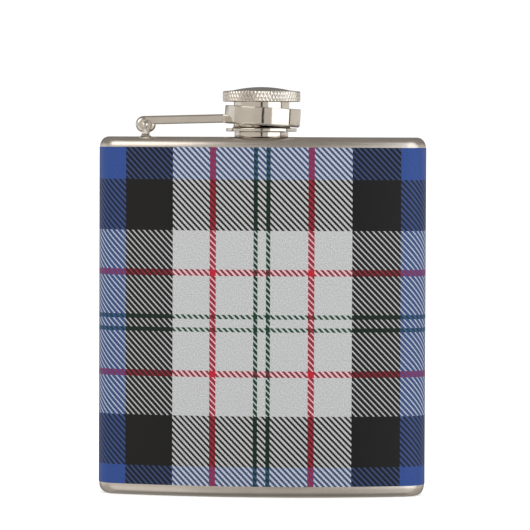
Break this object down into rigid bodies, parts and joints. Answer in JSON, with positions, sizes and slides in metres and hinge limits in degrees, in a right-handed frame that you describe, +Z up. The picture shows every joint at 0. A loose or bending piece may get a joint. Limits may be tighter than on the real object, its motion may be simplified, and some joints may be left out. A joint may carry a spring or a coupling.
{
  "type": "hip flask",
  "caption": "Kidney-section steel hip flask with a printed wrap and a knurled screw cap held captive by a collar ring on a hinged arm.",
  "frame": {"origin": "where the neck's axis meets the underside of the base, on the surface that the flask stands on", "axes": "+Z up along the neck's axis, -Y out of the bowed front, +X to the right seen from the front; the cap's hinge is on the -X side"},
  "size_m": [0.092, 0.0259, 0.1145],
  "materials": {
    "body_steel": "satin brushed stainless sheet",
    "wrap_vinyl": "satin printed vinyl, plaid",
    "bright_nickel": "polished nickel plate",
    "seal_plastic": "soft white sealing disc"
  },
  "bodies": {
    "flask": {"body_shell": "body_steel", "top_plate": "body_steel", "base_plate": "body_steel", "vinyl_wrap": "wrap_vinyl", "neck": "bright_nickel", "hinge_bracket": "bright_nickel", "hinge_pin": "bright_nickel"},
    "arm": {"cap_arm": "bright_nickel"},
    "cap": {"cap_head": "bright_nickel", "cap_sleeve": "bright_nickel", "cap_gasket": "seal_plastic"}
  },
  "joints": [
    {"name": "arm_swing", "type": "hinge", "parent": "flask", "child": "arm", "pos_m": [-0.0325, 0, 0.10375], "axis": [0, -1, 0], "range_deg": [0, 160]},
    {"name": "cap_turn", "type": "hinge", "parent": "arm", "child": "cap", "pos_m": [0, 0, 0.105], "axis": [0, 0, 1], "continuous": true}
  ]
}
